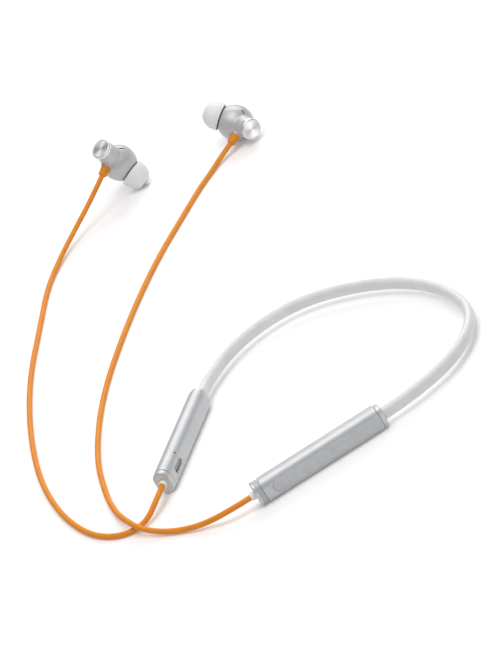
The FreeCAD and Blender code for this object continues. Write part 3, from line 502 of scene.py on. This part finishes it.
def sleeve_shell(pod, side):
    """The pod's tube, with softly rounded rims."""
    start, end = SLEEVE_START, SLEEVE_END[side]
    width, height = WIDTH - 2 * WALL, HEIGHT - 2 * WALL
    straight, spans = end - start - 2 * SLEEVE_RIM, 16
    outlines = rounded_stadium(start, WIDTH, HEIGHT, SLEEVE_RIM)
    for step in range(1, spans):
        outlines.append(stadium(start + SLEEVE_RIM + straight * step / spans, WIDTH, HEIGHT))
    outlines += rounded_stadium(end, WIDTH, HEIGHT, SLEEVE_RIM, True)
    outlines += [stadium(end, width + 2 * MOUTH_BEVEL, height + 2 * MOUTH_BEVEL)]
    outlines += [stadium(x, width, height) for x in (end - MOUTH_BEVEL, start + MOUTH_BEVEL)]
    outlines += [stadium(start, width + 2 * MOUTH_BEVEL, height + 2 * MOUTH_BEVEL)]
    return loft(pod + "_sleeve_drawn", outlines, SATIN, pod_matrix(side), hollow=True)


def cutter(outlines, side):
    """A solid that is taken out of a sleeve."""
    return loft("cutter", outlines, SATIN, pod_matrix(side))


def pill_cutter(x, z, length, height, sign=1):
    """Cuts a pill through one side wall of the control pod, with a small bevel at the surface."""
    rings = [(2.0, 0.0), (3.66, 0.0), (3.85, 0.19), (4.5, 0.84)]
    outlines = [pill(sign * y, x, z, length + 2 * grow, height + 2 * grow) for y, grow in rings]
    return cutter(outlines, "left")


def control_sleeve():
    """The sleeve, with the port's mouth, the buttons' openings, the pinhole and the light's hole."""
    sleeve = sleeve_shell("control_pod", "left")
    cutters = [pill_cutter(PORT_X, PORT_Z, 9.14, 3.36)]
    for x in BUTTONS.values():
        cutters.append(pill_cutter(x, 0, BUTTON_LENGTH + BUTTON_GAP, BUTTON_HEIGHT + BUTTON_GAP, -1))
    centre = Vector((MICROPHONE_X, 0, MICROPHONE_Z))
    cutters.append(cutter([circle(centre + MICROPHONE_AXIS * reach, MICROPHONE_AXIS, radius)
                           for reach, radius in ((2.3, 0.52), (3.74, 0.52), (3.9, 0.68))], "left"))
    cutters.append(cutter([circle(Vector((LED_X, 0, z)), UP, radius)
                           for z, radius in ((3.5, 0.55), (5.1, 0.55), (5.3, 0.75))], "left"))
    cut(sleeve, cutters)
    finish_piece(sleeve, "control_pod_sleeve")


def face_outline(y, start, margin):
    """Straight at the band end and round at the other."""
    half = FACE_HALF - margin
    centre = FACE_END - FACE_HALF
    outline = [(start, y, -half)]
    steps = 40
    for step in range(steps + 1):
        angle = math.pi * (step / steps - 0.5)
        outline.append((centre + half * math.cos(angle), y, half * math.sin(angle)))
    outline.append((start, y, half))
    return outline


def microphone_ring():
    """A fine raised ring round the pinhole."""
    profile = [(0.74 + 0.1 * math.cos(turn), 3.8 + 0.05 * math.sin(turn))
               for turn in (2 * math.pi * step / 12 for step in range(12))]
    matrix = pod_matrix("left") @ Matrix.Translation(Vector((MICROPHONE_X, 0, MICROPHONE_Z)))
    matrix = matrix @ turn_to(MICROPHONE_AXIS, Vector((1, 0, 0)))
    add_to(lathe("microphone_ring", profile, PORT, matrix, segments=48))


def battery_sleeve():
    """The sleeve, with a flat cut into one side and the inlay that fills it."""
    sleeve = sleeve_shell("battery_pod", "right")
    cut(sleeve, [cutter([face_outline(FACE_INNER, 1.0, 0.0), face_outline(5.0, 1.0, 0.0)], "right")])
    finish_piece(sleeve, "battery_pod_sleeve")
    rings = [(FACE_INNER, 0.03), (FACE_OUTER - 0.07, 0.03), (FACE_OUTER - 0.02, 0.05), (FACE_OUTER, 0.1)]
    outlines = [face_outline(y, SLEEVE_START + margin, margin) for y, margin in rings]
    panel = loft("battery_pod_face_panel", outlines, FACE, pod_matrix("right"))
    finish_piece(panel, "battery_pod_face")


def band_plate(pod, side):
    """The plate that the band passes through, with a rounded face and a rim round the band."""
    width, height = WIDTH - 0.8, HEIGHT - 0.8
    outlines = [stadium(PLUG_START, 3.9, 5.3), stadium(0.12, 3.9, 5.3), stadium(0.0, 4.14, 5.54)]
    outlines += rounded_stadium(0.0, width, height, 0.35)
    outlines += [stadium(1.62, width, height), stadium(1.7, width - 0.16, height - 0.16)]
    outlines += [stadium(x, PLUG_WIDTH, PLUG_HEIGHT) for x in (1.7, PLUG_START)]
    piece = loft(pod + "_band_plate_moulded", outlines, SATIN_FINE, pod_matrix(side), hollow=True)
    finish_piece(piece, pod + "_band_plate")


def matched_hole(x, radius):
    """A circle whose points lie in the directions of the stadium's."""
    outline = []
    for point in stadium(x, WIDTH, HEIGHT):
        reach = math.hypot(point[1], point[2])
        outline.append((x, point[1] / reach * radius, point[2] / reach * radius))
    return outline


def cable_plate(pod, side, depth):
    """The cable end's plate: a domed disc, and on the battery pod a shallow waist behind it, darkened with
    painted shade.
    """
    width, height = WIDTH - 0.2, HEIGHT - 0.2
    start = POD_LENGTH - depth
    outlines = [matched_hole(PLUG_END, 1.7), matched_hole(56.85, 1.7), matched_hole(POD_LENGTH, 1.85)]
    outlines += rounded_stadium(POD_LENGTH, width, height, 0.6, True)[::-1]
    outlines += [stadium(start + 0.08, width, height), stadium(start, width - 0.16, height - 0.16)]
    if side == "right":
        outlines += [stadium(x, WIDTH - 0.8, HEIGHT - 0.8) for x in (start, start - WAIST_LENGTH)]
        start -= WAIST_LENGTH
        sizes = [(start + 1.76, 0.58), (start + 0.04, 0.58), (start, 0.66)]
        rings = [stadium(x, WIDTH - inset, HEIGHT - inset) for x, inset in sizes]
        rings += [stadium(start, 5.9, 8.7), stadium(start + 1.76, 5.9, 8.7)]
        # The waist ring is darker than the sleeve, as painted shade in the groove.
        add_to(loft(pod + "_waist", rings, WAIST_PAINTED_SHADE, pod_matrix(side), hollow=True))
    outlines += [stadium(x, PLUG_WIDTH, PLUG_HEIGHT) for x in (start, PLUG_END)]
    piece = loft(pod + "_cable_plate_moulded", outlines, SATIN_FINE, pod_matrix(side), hollow=True)
    finish_piece(piece, pod + "_cable_plate")


def button(name, x):
    """A pill key with a rounded crown, and a round thumb dimple in the middle one."""
    top = BUTTON_TOP
    rings = [(2.2, 0.0), (2.45, 0.0), (2.45, -0.35), (2.85, -0.35), (2.85, 0.0), (top - 0.3, 0.0),
             (top - 0.18, 0.04), (top - 0.07, 0.13), (top - 0.01, 0.27), (top, 0.42)]
    outlines = [pill(-y, x, 0, BUTTON_LENGTH - 2 * inset, BUTTON_HEIGHT - 2 * inset) for y, inset in rings]
    if name == "multifunction_button":
        for step in range(DIMPLE_STEPS):
            radius = DIMPLE_RADIUS - 0.135 * step
            depth = DIMPLE_DEPTH * (1 - (radius / DIMPLE_RADIUS) ** 2)
            outlines.append(pill(depth - top, x, 0, 2 * radius, 2 * radius))
    piece = loft(name + "_key", outlines, SATIN_FINE, pod_matrix("left"))
    finish_piece(piece, name, name)


def usb_port():
    """The port's stamped shell, with a moulded tongue and its contacts inside."""
    matrix = pod_matrix("left")
    rings = [(-2.4, 8.94, 3.16), (3.6, 8.94, 3.16), (3.67, 8.9, 3.12), (3.7, 8.8, 3.02), (3.7, 8.5, 2.72),
             (3.67, 8.4, 2.62), (3.6, 8.34, 2.56), (-0.9, 8.34, 2.56)]
    outlines = [pill(y, PORT_X, PORT_Z, length, height) for y, length, height in rings]
    shell = loft("usb_c_shell", outlines, PORT, matrix)
    finish_piece(shell, "usb_c_receptacle")
    rings = [(-1.4, 0.0), (2.86, 0.0), (3.02, 0.06), (3.1, 0.2)]
    outlines = [pill(y, PORT_X, PORT_Z, 6.7 - 2 * inset, 0.7 - 2 * inset) for y, inset in rings]
    tongue = loft("usb_c_tongue", outlines, TONGUE, matrix)
    add_to(tongue)
    for index in range(12):
        x, face = PORT_X - 2.75 + 0.5 * index, PORT_Z + 0.345
        corners = [(x - 0.13, face), (x + 0.13, face), (x + 0.13, face + 0.05), (x - 0.13, face + 0.05)]
        contact = loft("usb_c_contact_%d" % index, [[(cx, y, cz) for cx, cz in corners] for y in (0.2, 2.7)],
                       STEEL, matrix)
        add_to(contact)


control_sleeve()
battery_sleeve()
usb_port()
microphone_ring()
for pod, side, depth in (("control_pod", "left", 2.1), ("battery_pod", "right", 1.4)):
    band_plate(pod, side)
    cable_plate(pod, side, depth)
for name, x in BUTTONS.items():
    button(name, x)


# ---------------------------------------------------------------- band
BAND_RADIUS, BAND_STRAIGHT, BAND_RIDGE = 1.9, 0.7, 0.03
BAND_IN_POD = 3.2


def band():
    """The silicone band: an oval section with a fine parting line inside and out."""
    section = []
    corners, spans = 64, 320
    for step in range(corners):
        angle = 2 * math.pi * step / corners
        across, height = math.cos(angle), math.sin(angle)
        straight = BAND_STRAIGHT * (1 if height > 0 else -1)
        flat = max(0.0, 1 - abs(height) * 6)
        ridge = BAND_RIDGE * max(0.0, 1 - abs(height) * 10)
        section.append(((BAND_RADIUS + ridge) * across, BAND_RADIUS * height + straight * (1 - flat)))
    stations = []
    reach = BAND_HALF_LENGTH + BAND_IN_POD
    for step in range(spans + 1):
        distance = -reach + 2 * reach * step / spans
        point, heading = band_point(distance)
        across = Vector((math.sin(heading), math.cos(heading), 0))
        stations.append((point, across))
    piece = sweep("band_sleeve_skin", stations, section, BAND)
    finish_piece(piece, "band_sleeve")


band()


# ---------------------------------------------------------------- cables, collars and strain reliefs
def nurbs_cable(side):
    """The jacketed cable, laid along its route."""
    points = CABLE_ROUTES[side]
    curve = bpy.data.curves.new("cable_%s_cord" % side, "CURVE")
    curve.dimensions = "3D"
    spline = curve.splines.new("NURBS")
    spline.points.add(len(points) - 1)
    for target, point in zip(spline.points, points):
        target.co = [c * MM for c in point] + [1]
    spline.order_u = 3
    spline.use_endpoint_u = True
    spline.resolution_u = 24
    curve.bevel_depth = CABLE_RADIUS * MM
    curve.bevel_resolution = 10
    curve.use_fill_caps = True
    curve.materials.append(ORANGE)
    obj = bpy.data.objects.new("cable_%s_cord" % side, curve)
    bpy.context.scene.collection.objects.link(obj)
    finish_piece(obj, "cable_" + side)


def pod_collar(side):
    """The cream collar, with a rolled mouth and a flange inside the pod."""
    matrix = pod_matrix(side) @ turn_to(Vector((1, 0, 0)), UP)
    profile = [(0.0, 51.1), (2.2, 51.1), (2.3, 51.2), (2.3, 51.9), (1.65, 51.9), (1.65, 56.9), (1.5, 57.0),
               (1.5, 57.16), (1.62, 57.24), (1.65, 57.34), (1.65, 58.8), (1.62, 58.92), (1.55, 59.0),
               (1.28, 59.0), (1.2, 58.92), (1.2, 57.2), (0.0, 57.2)]
    piece = lathe("cable_collar_%s_turned" % side, profile, CREAM, matrix, closed=False)
    finish_piece(piece, "cable_collar_" + side)


def relief(side):
    """The orange strain relief: a short sleeve with a rolled mouth and two fine rings."""
    def taper(z):
        return 2.05 - 0.1 * (z - 5.3) / 4.7

    profile = [(0.0, 3.7), (1.3, 3.7), (1.4, 3.8), (1.4, 5.3), (taper(5.3), 5.3)]
    for step in range(41):
        z = 5.4 + 4.2 * step / 40
        groove = 0.05 * max(0.0, math.cos((z - 8.9) / 0.3 * math.pi)) if 8.75 < z < 9.35 else 0
        profile.append((taper(z) - groove, z))
    profile += [(1.93, 9.8), (1.86, 9.93), (1.74, 10.0), (1.32, 10.0), (1.22, 9.95), (1.2, 9.85), (1.2, 8.2),
                (0.0, 8.2)]
    piece = lathe("strain_relief_%s_moulded" % side, profile, ORANGE, collar_matrix(side), closed=False)
    finish_piece(piece, "strain_relief_" + side)


# ---------------------------------------------------------------- earbuds
TIP_RIPPLE = 0.012
CAP_FACE_RADIUS, CAP_FACE_Z, CAP_FACE_CROWN = 4.1, 14.36, 0.03


def soft_ripple(angle, r, z):
    """The slight unevenness of moulded silicone."""
    return TIP_RIPPLE * noise.noise(Vector((math.cos(angle), math.sin(angle), z * 0.3)))


def ear_tip(side):
    """The silicone tip: a thin dome with a rolled hem round a thicker core."""
    profile = [(2.2, 13.8), (2.5, 13.45), (2.9, 13.2), (2.9, 7.9)]
    profile += [(2.98, 7.78), (3.1, 7.75), (3.35, 7.75), (3.46, 7.82), (3.5, 7.95)]
    profile += [(3.5, 12.4), (3.56, 12.7), (3.75, 12.98), (4.0, 13.15), (4.3, 13.2)]
    centre_r, centre_z, outer, inner = -0.70, 9.31, 7.2, 6.65
    top, low = math.asin((13.2 - centre_z) / inner), math.asin((9.2 - centre_z) / inner)
    for step in range(1, 13):
        angle = top + (low - top) * step / 12
        profile.append((centre_r + inner * math.cos(angle), centre_z + inner * math.sin(angle)))
    profile += [(5.9, 8.3), (5.82, 7.62), (5.88, 7.46), (6.02, 7.4), (6.2, 7.4), (6.33, 7.48), (6.37, 7.66),
                (6.46, 8.4)]
    low, high = math.asin((9.2 - centre_z) / outer), math.asin((15.56 - centre_z) / outer)
    for step in range(33):
        angle = low + (high - low) * step / 32
        z = centre_z + outer * math.sin(angle)
        ridge = 0.04 * math.cos((z - 9.3) * 2 * math.pi / 0.7) * max(0.0, 1 - abs(z - 9.6) / 1.6)
        profile.append((centre_r + (outer + ridge) * math.cos(angle), z))
    profile += [(2.62, 15.6), (2.36, 15.6), (2.24, 15.5), (2.2, 15.35)]
    piece = lathe("ear_tip_%s_moulded" % side, profile, TIP, nozzle_matrix(side), segments=128,
                  ripple=soft_ripple)
    finish_piece(piece, "ear_tip_" + side, "ear_tip_" + side)


def cap(side):
    """The metal cap: a turned face with painted highlight sectors, inside a bright, softly rounded rim."""
    profile = [(0.0, 11.5), (3.9, 11.5), (3.95, 11.55), (3.95, 12.7), (4.8, 12.7), (4.8, 13.3),
               (CAP_FACE_RADIUS, 13.3), (CAP_FACE_RADIUS, CAP_FACE_Z)]
    rings = 24
    for step in range(1, rings + 1):
        r = CAP_FACE_RADIUS * (1 - step / rings)
        profile.append((r, CAP_FACE_Z + CAP_FACE_CROWN * (1 - (r / CAP_FACE_RADIUS) ** 2)))
    piece = lathe("earbud_cap_%s_turned" % side, profile, cap_metal(side), bulb_matrix(side), segments=160,
                  closed=False)
    finish_piece(piece, "earbud_cap_" + side)
    profile = [(CAP_FACE_RADIUS, 12.7), (4.88, 12.7), (4.95, 12.77)]
    for step in range(11):
        turn = math.pi / 2 * step / 10
        profile.append((4.3 + 0.65 * math.cos(turn), 13.7 + 0.8 * math.sin(turn)))
    profile += [(4.2, 14.48), (4.13, 14.43), (CAP_FACE_RADIUS, CAP_FACE_Z)]
    rim = lathe("earbud_cap_%s_rim" % side, profile, POLISHED, bulb_matrix(side), segments=160)
    add_to(rim)


for side in ("left", "right"):
    nurbs_cable(side)
    pod_collar(side)
    relief(side)
    ear_tip(side)
    cap(side)


# ---------------------------------------------------------------- floor, light and camera
def floor():
    """A pale plane with a faint glow of its own."""
    bpy.ops.mesh.primitive_plane_add(size=6, location=(-0.1, 0.05, 0))
    plane = bpy.context.object
    plane.name = "floor"
    pale = shader("pale_floor", (0.85, 0.85, 0.85), 0.8, grain=60, tint=0.01, bump=0.00002)
    glow = pale.node_tree.nodes["Principled BSDF"]
    glow.inputs["Emission Color"].default_value = (1, 1, 1, 1)
    glow.inputs["Emission Strength"].default_value = 0.14
    plane.data.materials.append(pale)


def area_light(name, place, target, size, power):
    light = bpy.data.lights.new(name, "AREA")
    light.shape = "RECTANGLE"
    light.size, light.size_y = size
    light.energy = power
    obj = bpy.data.objects.new(name, light)
    obj.location = place
    obj.rotation_euler = (Vector(target) - Vector(place)).to_track_quat("-Z", "Y").to_euler()
    bpy.context.scene.collection.objects.link(obj)


def world():
    """Soft surroundings, darker at the horizon than overhead."""
    sky = bpy.data.worlds.new("studio")
    bpy.context.scene.world = sky
    sky.use_nodes = True
    tree = sky.node_tree
    background = tree.nodes["Background"]
    place = tree.nodes.new("ShaderNodeTexCoord")
    parts = tree.nodes.new("ShaderNodeSeparateXYZ")
    ramp = tree.nodes.new("ShaderNodeValToRGB")
    ramp.color_ramp.elements[0].position = 0.0
    ramp.color_ramp.elements[0].color = (0.25, 0.25, 0.26, 1)
    ramp.color_ramp.elements[1].position = 0.95
    ramp.color_ramp.elements[1].color = (1.0, 1.0, 1.0, 1)
    tree.links.new(place.outputs["Generated"], parts.inputs["Vector"])
    tree.links.new(parts.outputs["Z"], ramp.inputs["Fac"])
    tree.links.new(ramp.outputs["Color"], background.inputs["Color"])
    background.inputs["Strength"].default_value = 0.42


def camera():
    """The camera stands to the front right, looks down and leans to its side."""
    down, lean = math.radians(24.557), math.radians(31.742)
    ahead = Vector((-0.86245, 0.50615, 0))
    right = Vector((0.50615, 0.86245, 0))
    forward = ahead * math.cos(down) - UP * math.sin(down)
    above = ahead * math.sin(down) + UP * math.cos(down)
    x_axis = right * math.cos(lean) - above * math.sin(lean)
    y_axis = right * math.sin(lean) + above * math.cos(lean)
    data = bpy.data.cameras.new("camera")
    data.lens = 194.1
    data.sensor_width = 36
    data.clip_start, data.clip_end = 0.05, 20
    obj = bpy.data.objects.new("camera", data)
    turn = Matrix((x_axis, y_axis, -forward)).transposed().to_4x4()
    obj.matrix_world = Matrix.Translation(Vector((1.0567, -0.6323, 0.6044))) @ turn
    bpy.context.scene.collection.objects.link(obj)
    bpy.context.scene.camera = obj


floor()
world()
area_light("overhead", (0.15, -0.05, 1.1), (-0.1, 0.03, 0), (1.0, 1.0), 9)
area_light("back", (-0.75, 1.2, 0.95), (-0.1, 0.03, 0), (1.3, 1.1), 12)
camera()
bpy.context.scene.view_settings.view_transform = "Standard"
